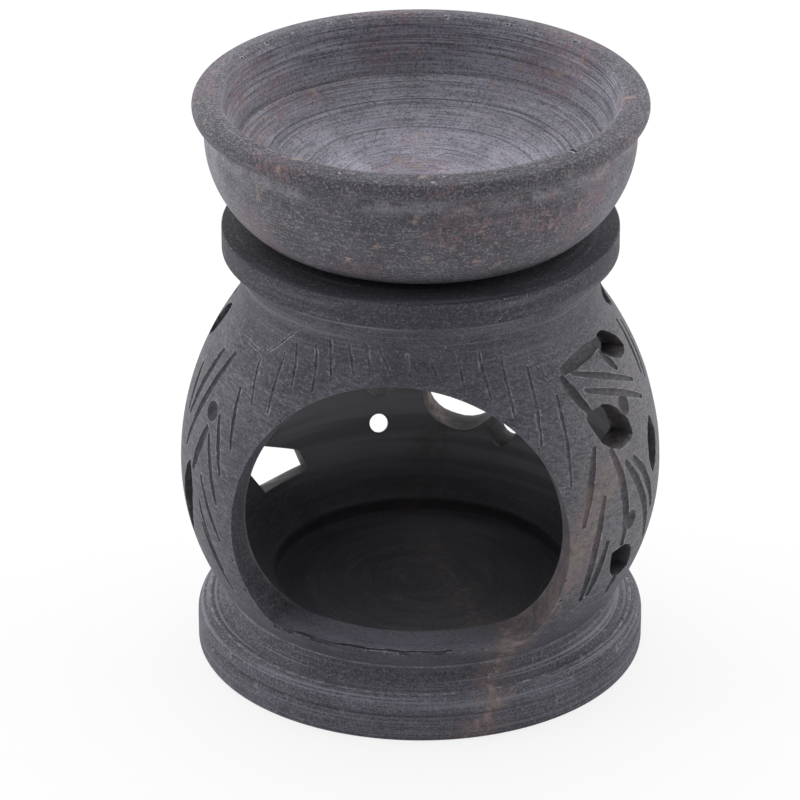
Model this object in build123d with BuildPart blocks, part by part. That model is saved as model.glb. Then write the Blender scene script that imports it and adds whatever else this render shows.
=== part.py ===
from build123d import *
import math
import os

# Essential oil burner turned from soapstone: a round body that shelters a
# tea light, and a loose dish that stands on its collar. Millimetres, +Z up,
# the origin under the middle of the foot, the window facing -Y.

# Foot: a turned disc with one line cut round its edge
foot_radius = 37.6
foot_height = 7.8
foot_line_height = 4.6
foot_line_width = 0.8
foot_line_depth = 0.4
foot_shoulder_inset = 2.0

# Cove between the foot and the belly
cove_height = 3.4
cove_reach_share = 0.24
cove_rise_share = 0.3

# Belly, swelling from its base to its widest line and back in to the neck
belly_base_radius = 32.6
belly_radius = 40.0
belly_rise = 22.3
belly_height = 58.2
belly_shoulder_radius = 31.5
belly_shoulder_share = 0.76
neck_radius = 29.6

# Collar that carries the dish
collar_radius = 32.6
collar_thickness = 4.3
collar_flare_height = 2.9
collar_flare_width = 2.0
mouth_radius = 19.4

# Chamber inside the belly, with a shallow well for the tea light
belly_wall = 4.4
shoulder_wall = 3.8
mouth_depth = 7.6
chamber_floor_height = 12.5
well_radius = 24.5
well_depth = 2.5

# Window: a round opening cut towards the axis, with a level sill
window_radius = 27.9
window_centre_height = 32.6
window_sill_height = 15.3
window_taper = 20
window_corner_radius = 5.0
window_start_depth = 14.0
cut_overrun = 6.0

# Leaf holes through the wall, at their full size
leaf_length = 12.8
leaf_width = 6.6
drill_radius = 1.75
drill_slope = 22
dimple_radius = 2.2
dimple_depth = 0.9

# Leaves: angle round the body from the middle of the window, height as a share
# of the belly, length and width as shares of a full leaf, lean from level
side_leaf_shares = [
    (75.5, 0.830, 0.72, 0.68, -26),
    (91.0, 0.885, 0.50, 0.55, -20),
    (63.2, 0.653, 1.00, 1.00, -32),
    (94.0, 0.620, 0.75, 0.80, 62),
    (82.5, 0.503, 0.72, 0.80, 78),
    (64.5, 0.232, 0.72, 0.88, -38),
    (112.0, 0.760, 0.75, 0.85, 30),
    (114.0, 0.420, 0.75, 0.85, -40),
    (-80.0, 0.850, 0.72, 0.68, 26),
    (-94.0, 0.885, 0.50, 0.55, 20),
    (-66.5, 0.392, 0.76, 0.82, 80),
    (-91.0, 0.560, 0.75, 0.85, 118),
    (-112.0, 0.700, 0.75, 0.85, -30),
]
back_leaf_shares = [
    (160.0, 0.560, 0.75, 0.85, 60),
    (-160.0, 0.620, 0.75, 0.85, 120),
    (180.0, 0.760, 0.75, 0.85, 90),
    (-136.0, 0.520, 0.75, 0.85, 40),
    (138.0, 0.520, 0.75, 0.85, -40),
]

# Petals at the back, rounder than the leaves: angle, height as a share of the
# belly, width and height as shares of a full petal, lean from level
petal_width = 13.6
petal_height = 11.6
petal_shares = [
    (174.6, 0.288, 1.00, 1.00, 0),
    (161.0, 0.222, 0.40, 0.62, 0),
    (-162.0, 0.352, 0.50, 0.70, 0),
    (-128.5, 0.137, 0.84, 0.66, 8),
]

# A drilled hole beside the petals, and drilled dimples: angle round the body
# and height as a share of the belly
drill_place_share = (-161.6, 0.186)
dimple_place_shares = [(71.0, 0.689), (66.2, 0.357), (-59.0, 0.663)]

# Dish, standing on the collar round its mouth
seat_width = 2.9
dish_radius = 37.1
dish_height = 23.0
dish_corner_radius = 10.0
dish_corner_turn = 39
lip_overhang = 2.2
lip_height = 3.7
lip_crown_drop = 0.6
rim_width = 4.6
hollow_step_drop = 8.9
hollow_taper = 2.3
hollow_step_width = 0.6
dish_floor_thickness = 5.4

# Levels and radii that follow from the sizes above
foot_shoulder_radius = foot_radius - foot_shoulder_inset
cove_middle_radius = belly_base_radius + cove_reach_share * (foot_shoulder_radius - belly_base_radius)
belly_base_z = foot_height + cove_height
belly_wide_z = belly_base_z + belly_rise
neck_z = belly_base_z + belly_height
belly_shoulder_z = belly_wide_z + belly_shoulder_share * (neck_z - belly_wide_z)
collar_base_z = neck_z + collar_flare_height
collar_top_z = collar_base_z + collar_thickness
chamber_radius = belly_radius - belly_wall
chamber_shoulder_radius = belly_shoulder_radius - shoulder_wall
chamber_top_z = collar_top_z - mouth_depth
well_floor_z = chamber_floor_height - well_depth
cut_reach = belly_radius + cut_overrun
dish_base_radius = mouth_radius + seat_width
dish_top_z = collar_top_z + dish_height
hollow_step_radius = dish_radius - rim_width - hollow_taper


def wall_plane(angle, height, lean=0.0, slope=0.0):
    """Plane on the axis that looks out through the wall, its X along the leaf."""
    turn = math.radians(angle)
    tip = math.radians(lean)
    fall = math.radians(slope)
    out = Vector(math.sin(turn) * math.cos(fall), -math.cos(turn) * math.cos(fall), -math.sin(fall))
    side = Vector(math.cos(turn), math.sin(turn), 0)
    rise = out.cross(side)
    along = side * math.cos(tip) + rise * math.sin(tip)
    return Plane(origin=(0, 0, height), x_dir=along, z_dir=out)


def belly_level(share):
    """Height of a place given as a share of the belly."""
    return belly_base_z + share * belly_height


def belly_surface_radius(height):
    """Radius of the belly's outside, from its lower and upper arcs."""
    if height < belly_wide_z:
        drop = belly_wide_z - belly_base_z
        inset = belly_radius - belly_base_radius
    else:
        drop = belly_shoulder_z - belly_wide_z
        inset = belly_radius - belly_shoulder_radius
    arc_radius = (inset**2 + drop**2) / (2 * inset)
    return belly_radius - arc_radius + math.sqrt(arc_radius**2 - (height - belly_wide_z)**2)


# Window cutter: a cone that narrows towards the axis, level at the sill
window_edge_depth = math.sqrt(belly_radius**2 - window_radius**2)
window_narrowing = (window_edge_depth - window_start_depth) * math.tan(math.radians(window_taper))
window_start_radius = window_radius - window_narrowing

with BuildPart() as window_cut:
    with BuildSketch(Plane.XZ.offset(window_start_depth)) as window_outline:
        with Locations((0, window_centre_height)):
            Circle(window_start_radius)
    extrude(amount=cut_reach - window_start_depth, taper=-window_taper)
    split(bisect_by=Plane.XY.offset(window_sill_height), keep=Keep.TOP)
    sill_sides = window_cut.edges().group_by(Axis.Z)[0].filter_by(Axis.X, reverse=True)
    fillet(sill_sides, radius=window_corner_radius)

with BuildPart() as burner_body:
    with BuildSketch(Plane.XZ) as body_section:
        with BuildLine():
            groove_start = (foot_radius, foot_line_height - foot_line_width / 2)
            groove_end = (foot_radius, foot_line_height + foot_line_width / 2)
            foot_shoulder = (foot_shoulder_radius, foot_height)
            cove_middle = (cove_middle_radius, foot_height + cove_rise_share * cove_height)
            belly_base = (belly_base_radius, belly_base_z)
            belly_widest = (belly_radius, belly_wide_z)
            belly_shoulder = (belly_shoulder_radius, belly_shoulder_z)
            neck = (neck_radius, neck_z)
            flare_end = (neck_radius + collar_flare_width, collar_base_z)
            chamber_widest = (chamber_radius, belly_wide_z)
            chamber_shoulder = (chamber_shoulder_radius, belly_shoulder_z)
            well_edge = (well_radius, chamber_floor_height)
            Polyline(
                (0, well_floor_z),
                (0, 0),
                (foot_radius, 0),
                groove_start,
                (foot_radius - foot_line_depth, foot_line_height),
                groove_end,
            )
            TangentArc(groove_end, foot_shoulder, tangent=(0, 1))
            ThreePointArc(foot_shoulder, cove_middle, belly_base)
            TangentArc(belly_widest, belly_base, tangent=(0, -1))
            upper_belly = TangentArc(belly_widest, belly_shoulder, tangent=(0, 1))
            TangentArc(belly_shoulder, neck, tangent=upper_belly % 1)
            TangentArc(neck, flare_end, tangent=(0, 1))
            Polyline(
                flare_end,
                (collar_radius, collar_base_z),
                (collar_radius, collar_top_z),
                (mouth_radius, collar_top_z),
                (mouth_radius, chamber_top_z),
            )
            upper_chamber = TangentArc(chamber_widest, chamber_shoulder, tangent=(0, 1))
            TangentArc(chamber_shoulder, (mouth_radius, chamber_top_z), tangent=upper_chamber % 1)
            TangentArc(chamber_widest, well_edge, tangent=(0, -1))
            Polyline(well_edge, (well_radius, well_floor_z), (0, well_floor_z))
        make_face()
    revolve(axis=Axis.Z)
    add(window_cut.part, mode=Mode.SUBTRACT)

    # Leaves pierced through the wall at the sides and the back
    for angle, level_share, length_share, width_share, lean in side_leaf_shares + back_leaf_shares:
        half_length = leaf_length * length_share / 2
        half_width = leaf_width * width_share / 2
        with BuildSketch(wall_plane(angle, belly_level(level_share), lean)):
            with BuildLine():
                ThreePointArc((-half_length, 0), (0, half_width), (half_length, 0))
                ThreePointArc((-half_length, 0), (0, -half_width), (half_length, 0))
            make_face()
        extrude(amount=cut_reach, mode=Mode.SUBTRACT)

    # Rounder petals at the back, and a hole drilled square to the wall beside them
    for angle, level_share, width_share, height_share, lean in petal_shares:
        with BuildSketch(wall_plane(angle, belly_level(level_share), lean)):
            Ellipse(petal_width * width_share / 2, petal_height * height_share / 2)
        extrude(amount=cut_reach, mode=Mode.SUBTRACT)
    drill_angle, drill_level_share = drill_place_share
    drill_level = belly_level(drill_level_share) + chamber_radius * math.tan(math.radians(drill_slope))
    with BuildSketch(wall_plane(drill_angle, drill_level, slope=drill_slope)):
        Circle(drill_radius)
    extrude(amount=cut_reach + cut_overrun, mode=Mode.SUBTRACT)

    # Dimples drilled a little way into the outside of the belly
    for angle, level_share in dimple_place_shares:
        level = belly_level(level_share)
        dimple_plane = wall_plane(angle, level)
        centre = dimple_plane.origin + dimple_plane.z_dir * (
            belly_surface_radius(level) + dimple_radius - dimple_depth
        )
        with Locations(centre):
            Sphere(dimple_radius, mode=Mode.SUBTRACT)
burner_body.part.label = "burner_body"

with BuildPart() as oil_dish:
    with BuildSketch(Plane.XZ) as dish_section:
        with BuildLine():
            lip_root = (dish_radius - lip_overhang, dish_top_z - lip_height)
            lip_top = (dish_radius - lip_crown_drop, dish_top_z - lip_crown_drop)
            rim_inner = (dish_radius - rim_width, dish_top_z)
            step_z = dish_top_z - hollow_step_drop
            step_outer = (hollow_step_radius, step_z)
            step_inner = (hollow_step_radius - hollow_step_width, step_z - hollow_step_width)
            floor_middle = (0, collar_top_z + dish_floor_thickness)
            corner_start = (dish_base_radius, collar_top_z)
            corner_end = (
                dish_base_radius + dish_corner_radius * math.sin(math.radians(dish_corner_turn)),
                collar_top_z + dish_corner_radius * (1 - math.cos(math.radians(dish_corner_turn))),
            )
            Polyline(floor_middle, (0, collar_top_z), corner_start)
            corner = TangentArc(corner_start, corner_end, tangent=(1, 0))
            TangentArc(corner_end, lip_root, tangent=corner % 1)
            ThreePointArc(lip_root, (dish_radius, dish_top_z - lip_height / 2), lip_top)
            TangentArc(rim_inner, lip_top, tangent=(1, 0))
            Polyline(rim_inner, step_outer, step_inner)
            TangentArc(floor_middle, step_inner, tangent=(1, 0))
        make_face()
    revolve(axis=Axis.Z)
oil_dish.part.label = "oil_dish"

os.makedirs("parts", exist_ok=True)
export_step(burner_body.part, "parts/burner_body.step")
export_step(oil_dish.part, "parts/oil_dish.step")
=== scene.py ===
import math
import random

import bmesh
import bpy
import numpy as np
from mathutils import Matrix, Vector


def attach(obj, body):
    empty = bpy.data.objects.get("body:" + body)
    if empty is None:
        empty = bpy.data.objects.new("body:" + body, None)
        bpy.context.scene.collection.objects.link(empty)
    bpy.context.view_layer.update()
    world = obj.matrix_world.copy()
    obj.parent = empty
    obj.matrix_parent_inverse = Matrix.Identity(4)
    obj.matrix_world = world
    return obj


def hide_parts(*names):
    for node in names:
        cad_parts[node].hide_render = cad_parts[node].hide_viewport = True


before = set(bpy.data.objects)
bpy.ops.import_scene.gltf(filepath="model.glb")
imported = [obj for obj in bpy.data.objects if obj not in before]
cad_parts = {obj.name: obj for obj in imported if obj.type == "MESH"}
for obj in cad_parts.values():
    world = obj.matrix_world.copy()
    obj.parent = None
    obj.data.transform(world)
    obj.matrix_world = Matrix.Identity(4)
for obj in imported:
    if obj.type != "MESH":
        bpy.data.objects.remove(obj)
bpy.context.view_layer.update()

mm = 0.001

# Burner body: one block of dark soapstone. Foot, cove, belly, neck and collar are
# turned from it in one piece, and the chamber is hollowed out through the mouth.
foot_radius, foot_height, foot_shoulder_inset = 37.6, 7.8, 2.0
foot_line_height, foot_line_half, foot_line_depth = 4.6, 0.4, 0.4
cove_middle = (33.32, 8.82)
belly_base, belly_widest = (32.6, 11.2), (40.0, 33.5)
belly_shoulder, neck = (31.5, 60.784), (29.6, 69.4)
collar_radius, collar_base, collar_top, flare_width = 32.6, 72.3, 76.6, 2.0
mouth_radius, chamber_top = 19.4, 69.0
chamber_widest, chamber_shoulder = (35.6, 33.5), (27.7, 60.784)
well_radius, chamber_floor, well_floor = 24.5, 12.5, 10.0
body_segments = 288
weld = 0.002 * mm


def straight(start, end, step):
    """Points of a straight cut, both ends included."""
    count = max(1, round(math.dist(start, end) / step))
    return np.linspace(start, end, count + 1)


def arc(start, heading, end, step):
    """Points of the arc that leaves start along heading and ends at end, and its last heading."""
    heading = np.array(heading, float)
    left = np.array((-heading[1], heading[0]))
    run = np.subtract(end, start)
    turn = 2 * math.atan2(run @ left, run @ heading)
    radius = run @ run / (2 * (run @ left))
    count = max(3, round(abs(turn * radius) / step))
    angles = turn * np.arange(count + 1) / count
    bow = np.outer(np.sin(angles), heading) + np.outer(1 - np.cos(angles), left)
    return start + radius * bow, math.cos(turn) * heading + math.sin(turn) * left


def heading_through(start, middle, end):
    """Heading with which the arc through three points leaves the first."""
    start, middle, end = (np.array(p) for p in (start, middle, end))
    rows = 2 * np.array((middle - start, end - start))
    centre = np.linalg.solve(rows, (middle @ middle - start @ start, end @ end - start @ start))
    spoke = (start - centre) / np.linalg.norm(start - centre)
    side = np.array((-spoke[1], spoke[0]))
    return side if side @ (middle - start) > 0 else -side


def distances(points):
    """How far along a line each of its points is."""
    return np.concatenate(((0,), np.cumsum(np.linalg.norm(np.diff(points, axis=0), axis=1))))


def eased(cuts):
    """Joins cuts end to end. Each is (points, ease): ease rounds the corner where it ends."""
    line = []
    start_trim = 0.0
    for place, (points, ease) in enumerate(cuts):
        lengths = distances(points)
        inner = lengths[(lengths > start_trim + 1e-6) & (lengths < lengths[-1] - ease - 1e-6)]
        stops = np.concatenate(((start_trim,), inner, (lengths[-1] - ease,)))
        kept = np.stack([np.interp(stops, lengths, points[:, i]) for i in (0, 1)], axis=1)
        line.extend(kept if ease or place == len(cuts) - 1 else kept[:-1])
        if ease and place < len(cuts) - 1:
            corner, after = points[-1], np.array(cuts[place + 1][0])
            ahead = corner + (after[1] - corner) * ease / np.linalg.norm(after[1] - corner)
            for t in (0.25, 0.5, 0.75):
                line.append((1 - t)**2 * kept[-1] + 2 * t * (1 - t) * corner + t * t * ahead)
        start_trim = ease
    return np.array(line)


foot_shoulder = (foot_radius - foot_shoulder_inset, foot_height)
line_low = (foot_radius, foot_line_height - foot_line_half)
line_high = (foot_radius, foot_line_height + foot_line_half)
line_deep = (foot_radius - foot_line_depth, foot_line_height)
flare_end = (neck[0] + flare_width, collar_base)
foot_edge, _ = arc(line_high, (0, 1), foot_shoulder, 0.4)
cove_heading = heading_through(foot_shoulder, cove_middle, belly_base)
cove, _ = arc(foot_shoulder, cove_heading, belly_base, 0.35)
lower_belly, _ = arc(belly_widest, (0, -1), belly_base, 0.7)
upper_belly, shoulder_heading = arc(belly_widest, (0, 1), belly_shoulder, 0.7)
nape, _ = arc(belly_shoulder, shoulder_heading, neck, 0.6)
flare, _ = arc(neck, (0, 1), flare_end, 0.4)
upper_chamber, chamber_heading = arc(chamber_widest, (0, 1), chamber_shoulder, 1.3)
chamber_nape, _ = arc(chamber_shoulder, chamber_heading, (mouth_radius, chamber_top), 1.1)
lower_chamber, _ = arc(chamber_widest, (0, -1), (well_radius, chamber_floor), 1.1)
body_profile = eased([
    (straight((0, 0), (foot_radius, 0), 6), 0.7),
    (straight((foot_radius, 0), line_low, 0.8), 0.12),
    (straight(line_low, line_deep, 0.3), 0.12),
    (straight(line_deep, line_high, 0.3), 0.12),
    (foot_edge, 0.35),
    (cove, 0.35),
    (lower_belly[::-1], 0),
    (upper_belly, 0),
    (nape, 0),
    (flare, 0.2),
    (straight(flare_end, (collar_radius, collar_base), 0.4), 0.3),
    (straight((collar_radius, collar_base), (collar_radius, collar_top), 0.6), 0.35),
    (straight((collar_radius, collar_top), (mouth_radius, collar_top), 0.9), 0.5),
    (straight((mouth_radius, collar_top), (mouth_radius, chamber_top), 1.2), 0),
    (chamber_nape[::-1], 0),
    (upper_chamber[::-1], 0),
    (lower_chamber, 0.4),
    (straight((well_radius, chamber_floor), (well_radius, well_floor), 0.6), 0.6),
    (straight((well_radius, well_floor), (0, well_floor), 2.2), 0),
])


def node(tree, kind, inputs=None, **settings):
    """Adds a node. Its inputs are given by name or number, as a value, a node or a socket."""
    made = tree.nodes.new(kind)
    for name, value in settings.items():
        setattr(made, name, value)
    for key, value in (inputs or {}).items():
        if isinstance(value, bpy.types.Node):
            value = next(s for s in value.outputs if s.enabled)
        if isinstance(value, bpy.types.NodeSocket):
            tree.links.new(value, made.inputs[key])
        else:
            made.inputs[key].default_value = value
    return made


def maths(tree, operation, *values):
    """Arithmetic on numbers."""
    return node(tree, "ShaderNodeMath", dict(enumerate(values)), operation=operation).outputs[0]


def vectors(tree, operation, *values, scale=None):
    """Arithmetic on vectors. A length or a dot product is a number."""
    inputs = dict(enumerate(values))
    if scale is not None:
        inputs["Scale"] = scale
    result = "Value" if operation in ("LENGTH", "DOT_PRODUCT") else "Vector"
    return node(tree, "ShaderNodeVectorMath", inputs, operation=operation).outputs[result]


def jitter(tree, scale, reach):
    """Offset of each point by noise, its scale in patches per metre."""
    noise = node(tree, "ShaderNodeTexNoise", {"Scale": scale, "Detail": 1.0}, noise_dimensions="3D")
    centred = vectors(tree, "SUBTRACT", noise.outputs["Color"], (0.5, 0.5, 0.5))
    return vectors(tree, "SCALE", centred, scale=reach)


def placed(name, data):
    """Puts data into the scene as an object."""
    item = bpy.data.objects.new(name, data)
    bpy.context.scene.collection.objects.link(item)
    return item


def workshop(name, **inputs):
    """A new Geometry Nodes tree with a geometry input, the named inputs and a geometry output."""
    tree = bpy.data.node_groups.new(name, "GeometryNodeTree")
    tree.interface.new_socket("Geometry", in_out="INPUT", socket_type="NodeSocketGeometry")
    for label, kind in inputs.items():
        tree.interface.new_socket(label, in_out="INPUT", socket_type="NodeSocket" + kind)
    tree.interface.new_socket("Geometry", in_out="OUTPUT", socket_type="NodeSocketGeometry")
    return tree, tree.nodes.new("NodeGroupInput").outputs, tree.nodes.new("NodeGroupOutput").inputs


def worked(mesh, tree, **sizes):
    """Puts a mesh through a tree and gives the result as a plain mesh."""
    blank = placed(tree.name, mesh)
    run = blank.modifiers.new(tree.name, "NODES")
    run.node_group = tree
    for item in tree.interface.items_tree:
        if item.in_out == "INPUT" and item.name in sizes:
            run[item.identifier] = sizes[item.name]
    depsgraph = bpy.context.evaluated_depsgraph_get()
    plain = bpy.data.meshes.new_from_object(blank.evaluated_get(depsgraph))
    bpy.data.objects.remove(blank)
    return plain


def line_mesh(name, lines, **values):
    """Mesh of open lines of points in millimetres, with a value for each point."""
    mesh = bpy.data.meshes.new(name)
    points = [tuple(c * mm for c in p) for line in lines for p in line]
    edges, first = [], 0
    for line in lines:
        edges += [(i, i + 1) for i in range(first, first + len(line) - 1)]
        first += len(line)
    mesh.from_pydata(points, edges, [])
    for label, numbers in values.items():
        kind = "FLOAT_VECTOR" if np.ndim(numbers) == 2 else "FLOAT"
        slot = mesh.attributes.new(label, kind, "POINT")
        slot.data.foreach_set("vector" if kind == "FLOAT_VECTOR" else "value", np.ravel(numbers))
    return mesh


# The lathe: a profile line, one point after another, is turned about the axis
lathe, given, made = workshop("lathe", Segments="Int", Stone="Material")
profile_points = node(lathe, "GeometryNodeAttributeDomainSize", {0: given["Geometry"]})
round_points = maths(lathe, "ADD", given["Segments"], 1)
sheet = node(lathe, "GeometryNodeMeshGrid",
             {"Vertices X": profile_points.outputs["Point Count"], "Vertices Y": round_points})
index = node(lathe, "GeometryNodeInputIndex")
row = maths(lathe, "DIVIDE", index, round_points)
row = maths(lathe, "FLOOR", row)
column = maths(lathe, "MODULO", index, round_points)
share = maths(lathe, "DIVIDE", column, given["Segments"])
turn = maths(lathe, "MULTIPLY", share, -2 * math.pi)
position = node(lathe, "GeometryNodeInputPosition")
profile_place = node(lathe, "GeometryNodeSampleIndex", {"Geometry": given["Geometry"], "Value": position,
                     "Index": row}, data_type="FLOAT_VECTOR", domain="POINT")
turned = node(lathe, "ShaderNodeVectorRotate", {"Vector": profile_place, "Angle": turn},
              rotation_type="Z_AXIS")
bent = node(lathe, "GeometryNodeSetPosition", {"Geometry": sheet.outputs["Mesh"], "Position": turned})
closed = node(lathe, "GeometryNodeMergeByDistance", {"Geometry": bent, "Distance": weld})
stone_set = node(lathe, "GeometryNodeSetMaterial", {"Geometry": closed, "Material": given["Stone"]})
lathe.links.new(stone_set.outputs[0], made[0])

body_stone = bpy.data.materials.new("dark_soapstone")
cut_stone = bpy.data.materials.new("dark_soapstone_cut")
scratch_stone = bpy.data.materials.new("dark_soapstone_scratch")
body_line = line_mesh("body_profile", [[(r, 0, z) for r, z in body_profile]])
body_mesh = worked(body_line, lathe, Segments=body_segments, Stone=body_stone)

# Carving: every island of a cutter is taken out of the stone on its own, so that
# cuts may cross. The cut faces keep the cutter's stone.
carve, given, made = workshop("carve", Cutter="Object")
cutter_mesh = node(carve, "GeometryNodeObjectInfo", {"Object": given["Cutter"]})
island = node(carve, "GeometryNodeInputMeshIsland")
bits = node(carve, "GeometryNodeSplitToInstances",
            {"Geometry": cutter_mesh.outputs["Geometry"], "Group ID": island}, domain="FACE")
cut = node(carve, "GeometryNodeMeshBoolean",
           {"Mesh 1": given["Geometry"], "Mesh 2": bits}, operation="DIFFERENCE", solver="MANIFOLD")
carve.links.new(cut.outputs["Mesh"], made[0])


def carved(mesh, cutter):
    """Takes every island of the cutter mesh out of a mesh."""
    tool = placed("cutter", cutter)
    result = worked(mesh, carve, Cutter=tool)
    bpy.data.objects.remove(tool)
    return result


# Window: a round opening sawn in towards the axis, narrowing as it goes, with a
# level sill whose corners are rounded.
window_height, window_sill, window_corner = 32.6, 15.3, 5.0
window_near, window_far = (-14.0, 22.563), (-46.0, 34.21)
window_taper = math.radians(20)


def window_outline(depth, radius):
    """The opening's outline at one depth: an arch, two corners and a level sill."""
    drop = window_height - window_sill - window_corner
    reach = math.sqrt((radius - window_corner)**2 - drop**2)
    lean = math.atan2(reach, -drop)
    arch = [(radius * math.sin(a), window_height + radius * math.cos(a))
            for a in np.linspace(-lean, lean, 181)]
    corner = [(reach + window_corner * math.sin(a), window_sill + window_corner + window_corner * math.cos(a))
              for a in np.linspace(lean, math.pi, 13)[1:]]
    sill = [(x, window_sill) for x in np.linspace(reach, -reach, 41)[1:-1]]
    outline = arch + corner + sill + [(-x, z) for x, z in corner[::-1]]
    return [(x, depth, z) for x, z in outline]


def prism(name, near, far, slices, material):
    """Closed mesh from one outline to another with as many points, in millimetres, in slices."""
    count = len(near)
    near, far = np.array(near), np.array(far)
    points = np.concatenate([near + (far - near) * k / slices for k in range(slices + 1)]) * mm
    faces = [(k + i, k + (i + 1) % count, k + count + (i + 1) % count, k + count + i)
             for k in range(0, slices * count, count) for i in range(count)]
    faces += [tuple(range(count))[::-1], tuple(range(slices * count, slices * count + count))]
    mesh = bpy.data.meshes.new(name)
    mesh.from_pydata([tuple(p) for p in points], [], faces)
    work = bmesh.new()
    work.from_mesh(mesh)
    bmesh.ops.triangulate(work, faces=[f for f in work.faces if len(f.verts) > 4])
    bmesh.ops.recalc_face_normals(work, faces=work.faces)
    work.to_mesh(mesh)
    work.free()
    mesh.materials.append(material)
    return mesh


window_tool = prism("window", window_outline(*window_near), window_outline(*window_far), 36, body_stone)
body_mesh = carved(body_mesh, window_tool)

# Leaves and petals pierced through the wall with a chisel, and one drilled hole:
# angle from the middle of the window, height, length, width and lean from level,
# then the angle it is cut along and its fall, where that isn't straight out.
leaves = [
    (79.0, 58.8, 10.0, 4.6, -24), (98.0, 63.2, 7.0, 4.0, -50), (63.2, 49.2, 12.8, 6.8, -32),
    (100.0, 43.5, 11.0, 5.3, 75), (82.5, 40.5, 9.2, 5.3, 78), (64.5, 24.7, 9.2, 5.8, -38),
    (112.0, 55.4, 9.6, 5.6, 30), (114.0, 35.6, 9.6, 5.6, -40), (-87.0, 57.8, 8.8, 4.6, 55),
    (-94.0, 62.7, 6.4, 3.6, 20), (-67.5, 31.6, 14.0, 5.6, 80), (-91.0, 43.8, 9.6, 5.6, 118),
    (-112.0, 51.9, 9.6, 5.6, -30), (160.0, 43.8, 9.6, 5.6, 60), (-160.0, 47.3, 9.6, 5.6, 120),
    (180.0, 55.4, 9.6, 5.6, 90), (-136.0, 41.5, 9.6, 5.6, 40), (138.0, 41.5, 9.6, 5.6, -40),
]
petals = [
    (174.6, 28.0, 13.6, 11.6, 0), (161.0, 24.1, 5.4, 7.2, 0),
    (-162.0, 31.7, 6.8, 8.1, 0),
]
slanted = [(-126.5, 19.2, 12.2, 8.0, 13, -160, 19)]
five_corners = [(0.75, 0.95), (-0.7, 0.8), (-1, 0.05), (0.35, -1), (1, -0.1)]
drilled = [(-161.6, 22.2, 3.3, 3.3, 0, -171, 26)]
wall_radius, cut_reach = 35.0, 14.0

pierce, given, made = workshop("pierce", Outline="Object", Roughness="Float")
outline = node(pierce, "GeometryNodeObjectInfo", {"Object": given["Outline"]})
facing = node(pierce, "GeometryNodeInputNamedAttribute", {"Name": "facing"}, data_type="FLOAT_VECTOR")
spread = node(pierce, "GeometryNodeInputNamedAttribute", {"Name": "spread"}, data_type="FLOAT_VECTOR")
facing = node(pierce, "FunctionNodeEulerToRotation", {0: facing})
holes = node(pierce, "GeometryNodeInstanceOnPoints", {"Points": given["Geometry"],
             "Instance": outline.outputs["Geometry"], "Rotation": facing, "Scale": spread})
holes = node(pierce, "GeometryNodeRealizeInstances", {0: holes})
chatter = jitter(pierce, 170.0, given["Roughness"])
holes = node(pierce, "GeometryNodeSetPosition", {"Geometry": holes, "Offset": chatter})
holes = node(pierce, "GeometryNodeSetMaterial", {"Geometry": holes, "Material": cut_stone})
pierce.links.new(holes.outputs[0], made[0])


def pointed(blunt, sides):
    """Outline of a leaf, two units long and wide: the blunter, the squarer its ends."""
    upper = [(c, (1 - abs(c)**blunt) ** 0.9) for c in np.cos(np.linspace(math.pi, 0, sides))]
    return upper + [(c, -s) for c, s in upper[-2:0:-1]]


def rounded(sides):
    """Outline of a circle, two units across."""
    return [(math.cos(a), math.sin(a)) for a in np.linspace(0, 2 * math.pi, sides, endpoint=False)]


def pierced(mesh, places, outline, rough):
    """Cuts one outline through the wall at each place."""
    near = [(x / mm, y / mm, -cut_reach) for x, y in outline]
    far = [(x / mm, y / mm, cut_reach) for x, y in outline]
    tool = placed("outline", prism("outline", near, far, 18, cut_stone))
    spots, facings, spreads = [], [], []
    for angle, height, length, width, lean, *aim in places:
        turn, tip = math.radians(aim[0] if aim else angle), math.radians(lean)
        fall = math.radians(aim[1] if aim else 0)
        level = math.cos(fall)
        out = Vector((math.sin(turn) * level, -math.cos(turn) * level, -math.sin(fall)))
        side = Vector((math.cos(turn), math.sin(turn), 0))
        along = side * math.cos(tip) + out.cross(side) * math.sin(tip)
        facings.append(tuple(Matrix((along, out.cross(along), out)).transposed().to_euler()))
        spreads.append((length / 2 * mm, width / 2 * mm, 1))
        spoke = math.radians(angle)
        spots.append([(wall_radius * math.sin(spoke), -wall_radius * math.cos(spoke), height)])
    points = line_mesh("places", spots, facing=facings, spread=spreads)
    cutter = worked(points, pierce, Outline=tool, Roughness=rough * mm)
    bpy.data.objects.remove(tool)
    return carved(mesh, cutter)


body_mesh = pierced(body_mesh, leaves, pointed(2.4, 9), 1.5)
body_mesh = pierced(body_mesh, petals, rounded(32), 0.9)
body_mesh = pierced(body_mesh, slanted, five_corners, 0.8)
body_mesh = pierced(body_mesh, drilled, rounded(32), 0)

# Gouged lines: a fringe of short scratches over the window, sprays of leaf veins at
# the sides and stems between the leaves. Each is the width, then angle and height
# of the points it passes.
fringe = [
    (0.62, (-48, 60.5), (-44, 54)), (0.62, (-39.5, 63), (-37.5, 54)), (0.62, (-35.5, 65), (-32.5, 58.5)),
    (0.62, (-28, 66), (-25.5, 59)), (0.7, (-23, 67.5), (-21, 61.5)), (0.62, (-16.5, 67.5), (-14, 62.5)),
    (0.62, (-11, 68.5), (-9, 63.5)), (0.55, (-7.5, 68.5), (-2.5, 63)), (0.5, (2.5, 66.5), (3, 63.5)),
    (0.62, (9, 66.5), (11, 63)), (0.62, (17.5, 67), (19.5, 61)), (0.62, (24.5, 67), (27, 59)),
    (0.7, (32, 65), (32.5, 56)), (0.8, (40.5, 62.5), (38.5, 51)), (0.85, (47, 57.5), (45, 43.5)),
    (0.35, (41.5, 63.5), (49.5, 57.5)), (0.35, (-35, 67.5), (-47, 61.5)), (0.35, (-61, 61.5), (-44, 61)),
]
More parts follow.
